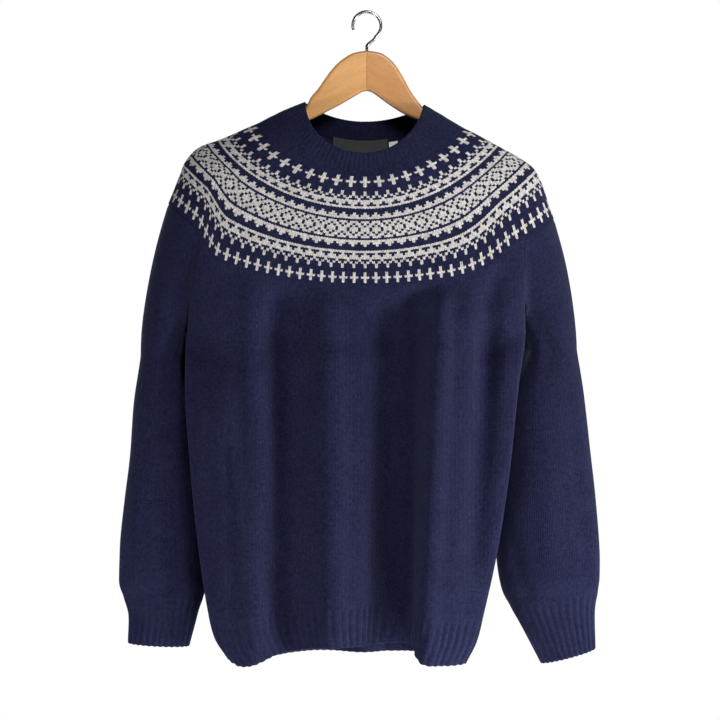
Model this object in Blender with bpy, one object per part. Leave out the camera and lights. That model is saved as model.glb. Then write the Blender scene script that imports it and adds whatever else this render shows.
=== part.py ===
"""A fair isle jumper with a round yoke, hanging on a flat wooden hanger.

The front faces -Y, the wearer's left is +X and +Z is up. The origin is the point inside the
hook where a rail carries it. All tables and sizes are in millimetres.

The cloth follows one smooth surface. Rings run round the neckband and the yoke. The front and
the back hang from the yoke's edge, between the raglan lines and the side seams. Each sleeve
starts on its armhole and runs through oval sections to the cuff. Every panel is a wall whose
outer face lies on that surface.
"""
import math

import bmesh
import bpy
import numpy as np

MM = 0.001

# Walls and seams
CLOTH = 2.2
RIB = 3.0
SEAM_GAP = 0.3

# How many facets each panel has
FRONT_STEPS = 24
SHOULDER_STEPS = 12
RAGLAN_STEPS = 5
SIDE_STEPS = 9
HEM_STEPS = 2
CAP_STEPS = 4
ARM_STEPS = 6
CUFF_STEPS = 2
YOKE_STEPS = 8
NECK_STEPS = 2

RAGLAN_ANGLE = math.radians(56)

# Two walls that meet at a seam split its facets alike: by which end lies further this way.
RIM_DIAGONAL = np.array([0.8, 0.5, 0.33])


def table(columns, *rows):
    """Named columns, each an array that reads down the rows."""
    return dict(zip(columns.split(), np.array(rows, float).T))


# Rings of the neckband and yoke. s is the cloth below the neckband at the front centre. The
# ends are where a ring crosses the shoulder ridge. fall says how soon the ring drops away from
# the ridge, ridge how broad the ridge is, and step how much of the drop is a step at the raglan
# lines.
RINGS = table(
    "s left_x left_z right_x right_z front_z back_z front_y back_y fall_left fall_right fall_back"
    " ridge step",
    (-24, -75.0, -106.5, 70.0, -110.0, -171.5, -128.0, 33, 27, 0.75, 1.00, 1.50, 0.22, 0.00),
    (0, -101.6, -117.2, 90.4, -122.0, -195.5, -151.0, 37, 31, 0.80, 1.05, 1.50, 0.20, 0.00),
    (4, -132.6, -133.2, 118.0, -139.2, -199.5, -156.6, 38, 32, 1.00, 1.28, 1.50, 0.17, 0.00),
    (10, -140.0, -136.4, 125.2, -142.4, -205.5, -165.0, 39, 33, 1.10, 1.40, 1.50, 0.15, 0.00),
    (38, -174.2, -151.4, 154.0, -158.0, -233.4, -194.0, 41, 35, 1.35, 1.60, 1.60, 0.10, 0.00),
    (67, -201.2, -161.6, 179.2, -171.8, -261.7, -223.0, 43, 36, 1.50, 1.65, 1.60, 0.08, 0.30),
    (90, -218.0, -179.6, 199.6, -186.2, -284.4, -246.0, 44, 36, 1.65, 1.70, 1.65, 0.06, 0.65),
    (107, -224.6, -196.4, 210.4, -206.0, -301.3, -264.0, 45, 36, 1.75, 1.75, 1.70, 0.06, 0.85),
    (124, -232.4, -215.6, 218.8, -232.4, -318.2, -282.0, 46, 36, 1.80, 1.80, 1.70, 0.06, 1.00),
    (135, -237.8, -228.8, 224.4, -246.8, -329.0, -293.0, 46, 36, 1.80, 1.80, 1.70, 0.06, 1.00),
)
RING_CENTRE_X = -2
NECK_TOP, YOKE_TOP, YOKE_EDGE = -24, 0, 135
DEPTH_ROUND = 0.6
STEP_FALL_OUTER, STEP_FALL_INNER = 1.8, 0.85
STEP_LEFT = (0.50, 0.68)
STEP_RIGHT = (0.60, 0.90)

# The body's two edges, downwards: the raglan lines to the underarm, then one side seam.
# row counts the panel's facets from the yoke's edge.
LEFT_EDGE = table(
    "row z front_x front_y back_x back_y",
    (0, -272, -197, -37, -197, 29),
    (2.5, -330, -208, -30, -203, 18),
    (5, -386, -216, -4, -216, -4),
    (5.5, -404, -217, -12, -217, -12),
    (6.5, -440, -217, -20, -217, -20),
    (9, -548, -210, -26, -210, -26),
    (11.5, -640, -200.5, -26, -200.5, -26),
    (14, -718, -189, -22, -189, -22),
    (15, -746, -182, -20, -182, -20),
    (16, -772, -166, -18, -166, -18),
)
RIGHT_EDGE = table(
    "row z front_x front_y back_x back_y",
    (0, -266, 186, -37, 186, 29),
    (2.5, -330, 188, -30, 184, 18),
    (5, -380, 191, -4, 191, -4),
    (5.5, -400, 189, -12, 189, -12),
    (6.5, -440, 182.5, -20, 182.5, -20),
    (9, -548, 170.5, -26, 170.5, -26),
    (11.5, -640, 156.5, -26, 156.5, -26),
    (14, -722, 139, -22, 139, -22),
    (15, -750, 132, -20, 132, -20),
    (16, -777, 119, -18, 119, -18),
)
LAST_SIDE_ROW = RAGLAN_STEPS + SIDE_STEPS
LAST_HEM_ROW = LAST_SIDE_ROW + HEM_STEPS
BODY_DEPTH = table(
    "row front_y back_y",
    (0, -46, 36),
    (5, -48, 38),
    (11, -48, 38),
    (16, -44, 34),
)
# The hem's lower edge, by share of the width from the wearer's right side.
HEM_EDGE = table(
    "share front_z back_z",
    (0.00, -772, -772),
    (0.05, -779, -773),
    (0.23, -763, -770),
    (0.45, -753, -768),
    (0.70, -753, -768),
    (0.76, -757, -768),
    (0.82, -771, -769),
    (0.92, -776, -772),
    (1.00, -777, -777),
)

# The largest folds, each a soft ridge (rise > 0) or trough (rise < 0) down a panel.
FRONT_FOLDS = table(
    "top_x top_z low_x low_z top_half low_half top_rise low_rise",
    (-168, -270, -148, -720, 44, 40, 4, 8),
    (-92, -330, -88, -740, 30, 28, -6, -10),
    (-38, -330, -36, -740, 20, 22, 5, 9),
    (26, -310, 26, -760, 36, 26, -12, -22),
    (94, -320, 82, -770, 28, 40, 8, 16),
    (148, -330, 126, -620, 26, 20, -8, -4),
)
BACK_FOLDS = table(
    "top_x top_z low_x low_z top_half low_half top_rise low_rise",
    (-142, -300, -124, -760, 34, 30, -5, -12),
    (-72, -290, -68, -760, 36, 34, 5, 10),
    (4, -280, -6, -760, 30, 28, -6, -14),
    (72, -300, 56, -760, 34, 34, 6, 11),
    (138, -320, 98, -700, 28, 24, -7, -8),
)

FOLD_FADE_IN, FOLD_FADE_OUT, FOLD_SHARPNESS = 0.2, 0.25, 1.6

# Sections of the sleeves, downwards. row 4 is the first whole ring below the underarm, row 10
# is the top of the cuff. drop is how far the inner edge hangs below the section's centre.
RIGHT_SLEEVE = table(
    "row x y z half_width half_depth drop",
    (4, -246.0, 20, -410, 27.5, 33, 0),
    (5, -236.5, 20, -464, 45.0, 34, 0),
    (6, -237.5, 20, -524, 48.5, 33, 0),
    (7, -241.0, 20, -584, 51.5, 32, 0),
    (8, -244.0, 20, -644, 54.0, 30, 0),
    (9, -245.0, 20, -682, 54.0, 28, 0),
    (10, -245.0, 20, -702, 48.5, 25, 0),
    (11, -245.5, 20, -722, 42.0, 22, 0),
    (12, -251.0, 20, -759, 37.0, 19, 2),
)
LEFT_SLEEVE = table(
    "row x y z half_width half_depth drop",
    (4, 223.0, 20, -404, 30.5, 33, 0),
    (5, 212.5, 20, -464, 51.0, 34, 2),
    (6, 214.5, 20, -524, 56.0, 33, 3),
    (7, 217.5, 20, -584, 60.0, 32, 4),
    (8, 219.5, 20, -644, 62.0, 30, 5),
    (9, 223.0, 20, -684, 59.0, 28, 8),
    (10, 227.0, 20, -704, 53.0, 25, 9),
    (11, 231.5, 20, -726, 45.0, 22, 10),
    (12, 243.5, 20, -773, 33.5, 19, 9),
)
CAP_EASE = 1.7

# The label and the size tab inside the back neck
LABEL_WIDTH, LABEL_TOP, LABEL_BOTTOM = 66, -1.5, 14
LABEL_MIDDLE = -7.5
LABEL_THICK = 0.8
LABEL_INSIDE = RIB + SEAM_GAP
TAB_WIDTH, TAB_HEIGHT, TAB_TOP = 10.5, 7, 3.5
TAB_MIDDLE = 32.5

# Hanger and hook
WOOD_THICK = 12
WOOD_EDGE = 3.8
JOINT_GAP = 0.3
ARM_UNDER_NECK, ARM_CLEARANCE = 9.5, 1.05
NECK_HALF = 92
ARM_END_LEFT, ARM_END_RIGHT = -198, 178
ARM_HEIGHT = 17
DOME = table(
    "left_x right_x z",
    (-15, 16, -47.0),
    (-25, 25, -52.5),
    (-35, 33, -60.0),
    (-43, 39, -69.0),
    (-51, 45.5, -80.0),
    (-59, 51.5, -92.0),
    (-68, 58, -101.5),
)
DOME_TOP = -45
ARM_START, ARM_POINTS, TIP_LENGTH = 74, 8, 10
TIP_HIGH, TIP_LOW, TIP_FLAT = 0.45, 0.95, 4
UNDERSIDE = table(
    "left_x right_x z",
    (-70.0, 63, -129.0),
    (-53.5, 44, -120.8),
    (-30.7, 26, -109.0),
    (-13.0, 12, -98.5),
    (-5.5, 5.5, -94.0),
)
NOTCH_TOP = -93
WIRE = 1.9
HOOK_RADIUS = 15
HOOK_TIP_ANGLE, HOOK_NECK_ANGLE, HOOK_POINTS = 196, -52, 26
SHANK_BEND = 12

CLOTH_NAVY = (0.012, 0.012, 0.042, 1)
RIB_NAVY = (0.02, 0.021, 0.055, 1)
CHARCOAL = (0.022, 0.026, 0.026, 1)
TAB_WHITE = (0.7, 0.7, 0.68, 1)
BEECH = (0.55, 0.33, 0.16, 1)
STEEL = (0.55, 0.55, 0.56, 1)


def curve(xs, ys, at):
    """A smooth curve through the points that never overshoots them."""
    at = np.clip(at, xs[0], xs[-1])
    step = np.diff(xs)
    slope = np.diff(ys) / step
    inner = np.where(slope[1:] * slope[:-1] > 0, 1.0, 0.0)
    total = np.where(inner > 0, slope[1:] + slope[:-1], 1.0)
    middle = inner * 2 * slope[1:] * slope[:-1] / total
    tangent = np.concatenate([slope[:1], middle, slope[-1:]])
    i = np.clip(np.searchsorted(xs, at, side="right") - 1, 0, len(step) - 1)
    t = (at - xs[i]) / step[i]
    start = (2 * t**3 - 3 * t**2 + 1) * ys[i] + (t**3 - 2 * t**2 + t) * step[i] * tangent[i]
    end = (3 * t**2 - 2 * t**3) * ys[i + 1] + (t**3 - t**2) * step[i] * tangent[i + 1]
    return start + end


def read(tab, name, at):
    """A table's column at a value of its first column."""
    return curve(next(iter(tab.values())), tab[name], at)


def smooth(t):
    t = np.clip(t, 0, 1)
    return t * t * (3 - 2 * t)


def mix(a, b, t):
    return a + (b - a) * t


def ring_point(s, angle):
    """A point of the neckband and yoke. angle is 0 at the front and 90 degrees at +X."""
    s, angle = np.broadcast_arrays(np.asarray(s, float), np.asarray(angle, float))
    across, c = np.sin(angle), np.abs(np.cos(angle))
    right, front = across >= 0, np.cos(angle) >= 0
    size = {name: read(RINGS, name, s) for name in RINGS if name != "s"}
    reach = np.where(right, size["right_x"] - RING_CENTRE_X, RING_CENTRE_X - size["left_x"])
    end_z = np.where(right, size["right_z"], size["left_z"])
    low_z = np.where(front, size["front_z"], size["back_z"])
    fall = np.where(front, np.where(right, size["fall_right"], size["fall_left"]), size["fall_back"])
    ridge = size["ridge"]
    rounded = (np.sqrt(c * c + ridge**2) - ridge) / (np.sqrt(1 + ridge**2) - ridge)
    start = np.where(right, STEP_RIGHT[0], STEP_LEFT[0])
    end = np.where(right, STEP_RIGHT[1], STEP_LEFT[1])
    inner = smooth((c - start) / (end - start))
    stepped = mix(rounded**STEP_FALL_OUTER, rounded**STEP_FALL_INNER, inner)
    drop = mix(rounded**fall, stepped, size["step"] * front)
    depth = c * math.sqrt(1 + DEPTH_ROUND**2) / np.sqrt(c * c + DEPTH_ROUND**2)
    x = RING_CENTRE_X + reach * across
    y = np.where(front, -size["front_y"], size["back_y"]) * depth
    return np.stack([x, y, mix(end_z, low_z, drop)], -1)


def edge_point(edge, side, face, row):
    """A point of a body edge: a raglan line above the underarm, the side seam below it."""
    row = np.asarray(row, float)
    out = [read(edge, name, row) for name in (face + "_x", face + "_y", "z")]
    point = np.stack(out, -1)
    angle = side * (RAGLAN_ANGLE if face == "front" else math.pi - RAGLAN_ANGLE)
    top = ring_point(YOKE_EDGE, angle)
    drawn = np.array([edge[face + "_x"][0], edge[face + "_y"][0], edge["z"][0]])
    share = np.clip(1 - row / RAGLAN_STEPS, 0, 1)
    return point + (top - drawn) * share[..., None]


def folds(tab, x, z):
    """How far the ridges and troughs lift the cloth at a point of a panel."""
    lift = 0
    for i in range(len(tab["top_x"])):
        fold = {name: column[i] for name, column in tab.items()}
        along = (fold["top_z"] - z) / (fold["top_z"] - fold["low_z"])
        middle = mix(fold["top_x"], fold["low_x"], along)
        half = mix(fold["top_half"], fold["low_half"], np.clip(along, 0, 1))
        rise = mix(fold["top_rise"], fold["low_rise"], np.clip(along, 0, 1))
        fade = smooth(along / FOLD_FADE_IN) * smooth((1 + FOLD_FADE_OUT - along) / FOLD_FADE_OUT)
        lift = lift + rise * fade * np.exp(-(((x - middle) / half) ** 2) * FOLD_SHARPNESS)
    return lift


def panel_point(face, row, angle):
    """A point of the front or the back. angle is that of the yoke's ring above it."""
    row, angle = np.broadcast_arrays(np.asarray(row, float), np.asarray(angle, float))
    limit = RAGLAN_ANGLE if face == "front" else math.pi - RAGLAN_ANGLE
    top = ring_point(YOKE_EDGE, angle)
    low_x = ring_point(YOKE_EDGE, -limit)[0]
    high_x = ring_point(YOKE_EDGE, limit)[0]
    share = (top[..., 0] - low_x) / (high_x - low_x)
    left = edge_point(LEFT_EDGE, -1, face, row)
    right = edge_point(RIGHT_EDGE, 1, face, row)
    edge = mix(left, right, share[..., None])
    hem_z = read(HEM_EDGE, face + "_z", share)
    fall = []
    for points, tab, side in ((left, LEFT_EDGE, -1), (right, RIGHT_EDGE, 1)):
        start = edge_point(tab, side, face, 0)[2]
        fall.append((points[..., 2] - start) / (tab["z"][-1] - start))
    down = mix(fall[0], fall[1], share)
    z = mix(top[..., 2], hem_z, down)
    across = np.clip(2 * share - 1, -1, 1)
    middle_y = read(BODY_DEPTH, face + "_y", row)
    power = 0.5 if face == "front" else 0.9
    round_y = mix(edge[..., 1], middle_y, (1 - across**2) ** power)
    start_y = top[..., 1] + edge[..., 1] - mix(
        edge_point(LEFT_EDGE, -1, face, 0)[1], edge_point(RIGHT_EDGE, 1, face, 0)[1], share
    )
    y = mix(start_y, round_y, smooth(row / RAGLAN_STEPS))
    sign = -1 if face == "front" else 1
    tab = FRONT_FOLDS if face == "front" else BACK_FOLDS
    y = y + sign * folds(tab, edge[..., 0], z) * (1 - np.abs(across) ** 6) * smooth(row / 2)
    return np.stack([edge[..., 0], y, z], -1)


def armhole_point(side, column):
    """The sleeve's top edge. column runs from the underarm up the front and down the back."""
    column = np.asarray(column, float)
    edge = LEFT_EDGE if side < 0 else RIGHT_EDGE
    front = edge_point(edge, side, "front", np.clip(RAGLAN_STEPS - column, 0, RAGLAN_STEPS))
    over = np.clip((column - RAGLAN_STEPS) / SHOULDER_STEPS, 0, 1)
    yoke = ring_point(YOKE_EDGE, side * mix(RAGLAN_ANGLE, math.pi - RAGLAN_ANGLE, over))
    down = np.clip(column - RAGLAN_STEPS - SHOULDER_STEPS, 0, RAGLAN_STEPS)
    back = edge_point(edge, side, "back", down)
    on_front = (column < RAGLAN_STEPS)[..., None]
    on_back = (column > RAGLAN_STEPS + SHOULDER_STEPS)[..., None]
    return np.where(on_front, front, np.where(on_back, back, yoke))


SLEEVE_COLUMNS = 2 * RAGLAN_STEPS + SHOULDER_STEPS


def section_point(side, row, column):
    """A point of a sleeve's oval section. The inner edge is column 0, and the front comes next."""
    tab = RIGHT_SLEEVE if side < 0 else LEFT_SLEEVE
    size = {name: read(tab, name, row) for name in tab if name != "row"}
    turn = 2 * math.pi * column / SLEEVE_COLUMNS
    inward = np.cos(turn)
    x = size["x"] - side * size["half_width"] * inward
    y = size["y"] - size["half_depth"] * np.sin(turn)
    return np.stack([x, y, size["z"] - size["drop"] * inward], -1)


def sleeve_point(side, row, column):
    """A point of a sleeve, from its armhole through the cap to the oval sections."""
    row, column = np.broadcast_arrays(np.asarray(row, float), np.asarray(column, float))
    down = np.clip(row / CAP_STEPS, 0, 1)
    eased = 1 - (1 - down) ** CAP_EASE
    share = np.stack([eased, eased, down], -1)
    section = section_point(side, np.maximum(row, CAP_STEPS), column)
    return mix(armhole_point(side, column), section, share)


def grid(point, rows, columns):
    return point(np.asarray(rows, float)[:, None], np.asarray(columns, float)[None, :])


def quads(rows, columns, wrap, start=0):
    """The corners of each facet of a grid of points."""
    for r in range(rows - 1):
        for c in range(columns if wrap else columns - 1):
            d = (c + 1) % columns
            a, b = start + r * columns, start + (r + 1) * columns
            yield a + c, b + c, b + d, a + d


def surface_normals(panels):
    """Outward normals, shared where panels meet, so that their walls meet too."""
    points = np.concatenate([p["points"].reshape(-1, 3) for p in panels])
    _, same = np.unique(np.round(points, 3), axis=0, return_inverse=True)
    same = same.reshape(-1)
    total = np.zeros((same.max() + 1, 3))
    start = 0
    for p in panels:
        rows, columns = p["points"].shape[:2]
        faces = np.array(list(quads(rows, columns, p["wrap"], start)))
        corner = points[faces]
        normal = np.cross(corner[:, 2] - corner[:, 0], corner[:, 3] - corner[:, 1])
        for k in range(4):
            np.add.at(total, same[faces[:, k]], normal * p["turn"])
        start += rows * columns
    total /= np.linalg.norm(total, axis=1)[:, None]
    start = 0
    for p in panels:
        count = p["points"].shape[0] * p["points"].shape[1]
        p["normals"] = total[same[start:start + count]].reshape(p["points"].shape)
        start += count


def seam_allowance(points, wrap):
    """The points with each open border drawn back by half the gap at a seam."""
    out = points.copy()
    borders = [(0, 1, 0), (-1, -2, 0)]
    if not wrap:
        borders += [(0, 1, 1), (-1, -2, 1)]
    for at, beside, axis in borders:
        edge, inside = points.take(at, axis), points.take(beside, axis)
        if wrap:
            along = np.roll(edge, -1, 0) - np.roll(edge, 1, 0)
        else:
            along = np.gradient(edge, axis=0)
        along /= np.linalg.norm(along, axis=-1)[..., None]
        way = inside - edge
        way -= along * (way * along).sum(-1)[..., None]
        way /= np.linalg.norm(way, axis=-1)[..., None]
        if axis == 0:
            out[at] += way * SEAM_GAP / 2
        else:
            out[:, at] += way * SEAM_GAP / 2
    return out


def wall_mesh(name, outer, inner, wrap):
    """A closed wall between two grids of points."""
    rows, columns = outer.shape[:2]
    count = rows * columns
    faces = list(quads(rows, columns, wrap))
    faces += [tuple(reversed(face)) for face in quads(rows, columns, wrap, count)]
    rims = []
    last = (rows - 1) * columns
    steps = range(columns if wrap else columns - 1)
    rims += [(c, (c + 1) % columns) for c in steps]
    rims += [(last + (c + 1) % columns, last + c) for c in steps]
    if not wrap:
        rims += [((r + 1) * columns, r * columns) for r in range(rows - 1)]
        rims += [(r * columns + columns - 1, (r + 1) * columns + columns - 1) for r in range(rows - 1)]
    points = np.concatenate([outer.reshape(-1, 3), inner.reshape(-1, 3)])
    rank = points @ RIM_DIAGONAL
    for a, b in rims:
        if rank[a] < rank[b]:
            faces += [(a, b, b + count), (a, b + count, a + count)]
        else:
            faces += [(a, b, a + count), (b, b + count, a + count)]
    points = points * MM
    mesh = bpy.data.meshes.new(name)
    mesh.from_pydata(points.tolist(), [], faces)
    shape = bmesh.new()
    shape.from_mesh(mesh)
    bmesh.ops.triangulate(shape, faces=shape.faces)
    bmesh.ops.recalc_face_normals(shape, faces=shape.faces)
    shape.to_mesh(mesh)
    shape.free()
    return mesh


def material(name, colour, roughness, metallic=0.0):
    new = bpy.data.materials.new(name)
    new.use_nodes = True
    shader = new.node_tree.nodes["Principled BSDF"]
    shader.inputs["Base Color"].default_value = colour
    shader.inputs["Roughness"].default_value = roughness
    shader.inputs["Metallic"].default_value = metallic
    return new


def add_object(name, data, collection, finish):
    new = bpy.data.objects.new(name, data)
    collection.objects.link(new)
    data.materials.append(material(name, *finish))
    return new


def add_mesh(name, mesh, collection, finish):
    mesh.shade_smooth()
    mesh.set_sharp_from_angle(angle=math.radians(40))
    return add_object(name, mesh, collection, finish)


def cloth_panels():
    """Every cloth panel as a grid of points on the outer surface."""
    half = RAGLAN_ANGLE
    back_half = math.pi - half
    front_angles = np.linspace(-half, half, FRONT_STEPS + 1)
    back_angles = np.linspace(back_half, 2 * math.pi - back_half, FRONT_STEPS + 1)
    right = np.linspace(half, back_half, SHOULDER_STEPS + 1)
    left = right + math.pi
    ring = np.concatenate([front_angles[:-1], right[:-1], back_angles[:-1], left[:-1]])
    body_rows = np.arange(LAST_SIDE_ROW + 1)
    hem_rows = np.arange(LAST_SIDE_ROW, LAST_HEM_ROW + 1)
    arm_rows = np.arange(CAP_STEPS + ARM_STEPS + 1)
    cuff_rows = np.arange(CAP_STEPS + ARM_STEPS, CAP_STEPS + ARM_STEPS + CUFF_STEPS + 1)
    columns = np.arange(SLEEVE_COLUMNS)

    panels = []

    def panel(name, points, wall, wrap, turn):
        panels.append({"name": name, "points": points, "wall": wall, "wrap": wrap, "turn": turn})

    panel("neckband", grid(ring_point, np.linspace(NECK_TOP, YOKE_TOP, NECK_STEPS + 1), ring), RIB, True, 1)
    panel("yoke", grid(ring_point, np.linspace(YOKE_TOP, YOKE_EDGE, YOKE_STEPS + 1), ring), CLOTH, True, 1)
    for face, angles in (("front", front_angles), ("back", back_angles)):
        def point(row, angle, face=face):
            return panel_point(face, row, angle)
        panel(face, grid(point, body_rows, angles), CLOTH, False, 1)
        panel("hem_" + face, grid(point, hem_rows, angles), RIB, False, 1)
    for name, side in (("right", -1), ("left", 1)):
        def point(row, column, side=side):
            return sleeve_point(side, row, column)
        panel("sleeve_" + name, grid(point, arm_rows, columns), CLOTH, True, side)
        panel("cuff_" + name, grid(point, cuff_rows, columns), RIB, True, side)
    return panels


def build_cloth(collection):
    panels = cloth_panels()
    surface_normals(panels)
    for p in panels:
        outer = seam_allowance(p["points"], p["wrap"])
        inner = seam_allowance(p["points"] - p["normals"] * p["wall"], p["wrap"])
        colour = RIB_NAVY if p["wall"] == RIB else CLOTH_NAVY
        add_mesh(p["name"], wall_mesh(p["name"], outer, inner, p["wrap"]), collection, (colour, 0.95))


def back_neck_patch(middle, width, top, bottom, inside, steps):
    """An upright patch of the back neck, moved towards the inside."""
    s = np.linspace(top, bottom, 3)[:, None]
    x = np.linspace(middle - width / 2, middle + width / 2, steps + 1)[None, :] - RING_CENTRE_X
    right, left = read(RINGS, "right_x", s) - RING_CENTRE_X, RING_CENTRE_X - read(RINGS, "left_x", s)
    points = ring_point(s, math.pi - np.arcsin(x / np.where(x > 0, right, left)))
    normal = np.cross(np.gradient(points, axis=0), np.gradient(points, axis=1))
    normal /= np.linalg.norm(normal, axis=-1)[..., None]
    return points + normal * inside


def build_labels(collection):
    for name, middle, width, top, bottom, colour in (
        ("label", LABEL_MIDDLE, LABEL_WIDTH, LABEL_TOP, LABEL_BOTTOM, CHARCOAL),
        ("size_tab", TAB_MIDDLE, TAB_WIDTH, TAB_TOP, TAB_TOP + TAB_HEIGHT, TAB_WHITE),
    ):
        steps = 8 if name == "label" else 2
        near = back_neck_patch(middle, width, top, bottom, LABEL_INSIDE, steps)
        far = back_neck_patch(middle, width, top, bottom, LABEL_INSIDE + LABEL_THICK, steps)
        add_mesh(name, wall_mesh(name, near, far, False), collection, (colour, 0.8))


def ridge_z(x):
    """The height of the cloth's ridge over the hanger's arm."""
    side = "left" if x < 0 else "right"
    reach, height = RINGS[side + "_x"], RINGS[side + "_z"]
    order = np.argsort(reach)
    return float(curve(reach[order], height[order], x))


def hanger_outline(side):
    """Half of the hanger, from the centre line over the dome, out along the arm and back."""
    column = "left_x" if side < 0 else "right_x"
    reach = ARM_END_LEFT if side < 0 else ARM_END_RIGHT
    line = side * JOINT_GAP / 2
    dome = list(zip(DOME[column], DOME["z"]))
    tops = []
    for x in np.linspace(side * ARM_START, reach - side * TIP_LENGTH, ARM_POINTS):
        share = smooth((abs(x) - NECK_HALF) / NECK_HALF * 2)
        slope = ridge_z(x + 1) - ridge_z(x)
        under_yoke = (CLOTH + ARM_CLEARANCE) * math.sqrt(1 + slope**2)
        tops.append((x, ridge_z(x) - mix(ARM_UNDER_NECK, under_yoke, share)))
    end_x, end_z = tops[-1]
    middle = end_z - ARM_HEIGHT * TIP_HIGH
    tip = [(reach, middle), (reach, middle - TIP_FLAT), (end_x, end_z - ARM_HEIGHT * TIP_LOW)]
    under = list(zip(UNDERSIDE[column], UNDERSIDE["z"]))
    return [(line, DOME_TOP)] + dome + tops + tip + under + [(line, NOTCH_TOP)]


def build_hanger(collection):
    for name, side in (("hanger_right", -1), ("hanger_left", 1)):
        outline = hanger_outline(side)
        shape = bmesh.new()
        corners = [shape.verts.new((x * MM, -WOOD_THICK / 2 * MM, z * MM)) for x, z in outline]
        face = shape.faces.new(corners)
        more = bmesh.ops.extrude_face_region(shape, geom=[face])["geom"]
        moved = [v for v in more if isinstance(v, bmesh.types.BMVert)]
        bmesh.ops.translate(shape, verts=moved, vec=(0, WOOD_THICK * MM, 0))
        bmesh.ops.recalc_face_normals(shape, faces=shape.faces)
        sharp = []
        for edge in shape.edges:
            on_joint = all(abs(v.co.x) < JOINT_GAP * MM for v in edge.verts)
            if edge.calc_face_angle() > math.radians(50) and not on_joint:
                sharp.append(edge)
        width = WOOD_EDGE * MM
        bmesh.ops.bevel(shape, geom=sharp, offset=width, segments=2, profile=0.5, affect="EDGES")
        mesh = bpy.data.meshes.new(name)
        shape.to_mesh(mesh)
        shape.free()
        add_mesh(name, mesh, collection, (BEECH, 0.45))


def hook_route():
    """The wire's centre line, from the tip over the top, round and down into the wood."""
    radius = HOOK_RADIUS + WIRE
    centre_z = -HOOK_RADIUS
    turns = np.radians(np.linspace(HOOK_TIP_ANGLE, HOOK_NECK_ANGLE, HOOK_POINTS))
    route = [(radius * math.cos(a), centre_z + radius * math.sin(a)) for a in turns]
    last_x, last_z = route[-1]
    for t in np.linspace(0.25, 1, 4):
        route.append((mix(last_x, 0, smooth(t)), last_z - SHANK_BEND * t))
    route.append((0, DOME_TOP + SEAM_GAP))
    return route


def build_hook(collection):
    data = bpy.data.curves.new("hook", "CURVE")
    data.dimensions = "3D"
    data.bevel_depth = WIRE * MM
    data.bevel_resolution = 2
    data.use_fill_caps = True
    route = hook_route()
    spline = data.splines.new("POLY")
    spline.points.add(len(route) - 1)
    for point, (x, z) in zip(spline.points, route):
        point.co = (x * MM, 0, z * MM, 1)
    add_object("hook", data, collection, (STEEL, 0.3, 1.0))


def build():
    for old in list(bpy.data.objects):
        bpy.data.objects.remove(old, do_unlink=True)
    collection = bpy.data.collections.new("fair_isle_jumper")
    bpy.context.scene.collection.children.link(collection)
    build_cloth(collection)
    build_labels(collection)
    build_hanger(collection)
    build_hook(collection)


build()
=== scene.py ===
"""Looks of the fair isle jumper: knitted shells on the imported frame, a hanger and a hook.

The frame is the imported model's: metres, the front faces -Y and the wearer's left is +X. The
cloth's tables and sizes are in millimetres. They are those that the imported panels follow, but
for the creases, one row of the sleeves' widths and the tab's height.
"""
import math

import bmesh
import bpy
import numpy as np
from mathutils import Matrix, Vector


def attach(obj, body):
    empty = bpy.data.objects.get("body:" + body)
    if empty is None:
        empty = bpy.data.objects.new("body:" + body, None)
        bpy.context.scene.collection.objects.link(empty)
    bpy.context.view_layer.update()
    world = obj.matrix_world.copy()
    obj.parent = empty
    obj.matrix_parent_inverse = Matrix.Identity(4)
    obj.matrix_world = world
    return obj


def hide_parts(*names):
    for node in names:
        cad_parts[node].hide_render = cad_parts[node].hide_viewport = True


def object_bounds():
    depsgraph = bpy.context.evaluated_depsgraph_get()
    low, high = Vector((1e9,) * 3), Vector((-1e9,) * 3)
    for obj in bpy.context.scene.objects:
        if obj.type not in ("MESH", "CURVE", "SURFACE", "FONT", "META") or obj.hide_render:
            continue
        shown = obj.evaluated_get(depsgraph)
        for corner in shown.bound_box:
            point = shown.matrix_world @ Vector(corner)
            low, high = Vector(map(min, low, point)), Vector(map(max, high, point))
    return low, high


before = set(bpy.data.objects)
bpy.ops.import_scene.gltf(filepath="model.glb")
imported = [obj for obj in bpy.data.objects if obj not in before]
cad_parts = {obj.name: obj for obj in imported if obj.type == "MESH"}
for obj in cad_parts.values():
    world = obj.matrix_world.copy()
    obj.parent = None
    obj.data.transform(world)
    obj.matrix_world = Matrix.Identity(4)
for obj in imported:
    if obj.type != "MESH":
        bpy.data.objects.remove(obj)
cad_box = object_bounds()

MM = 0.001

# Camera: level, in front of the jumper, with the picture's width at the hanger's depth
EYE = (-8, -2400, -416)
PICTURE_WIDTH = 864
SENSOR = 36

# Walls and seams
CLOTH = 2.2
RIB = 3.0
SEAM_GAP = 0.3

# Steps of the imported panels, which the tables count rows and columns in
SHOULDER_STEPS = 12
RAGLAN_STEPS = 5
SIDE_STEPS = 9
HEM_STEPS = 2
CAP_STEPS = 4

RAGLAN_ANGLE = math.radians(56)


def table(columns, *rows):
    """Named columns, each an array that reads down the rows."""
    return dict(zip(columns.split(), np.array(rows, float).T))


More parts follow.
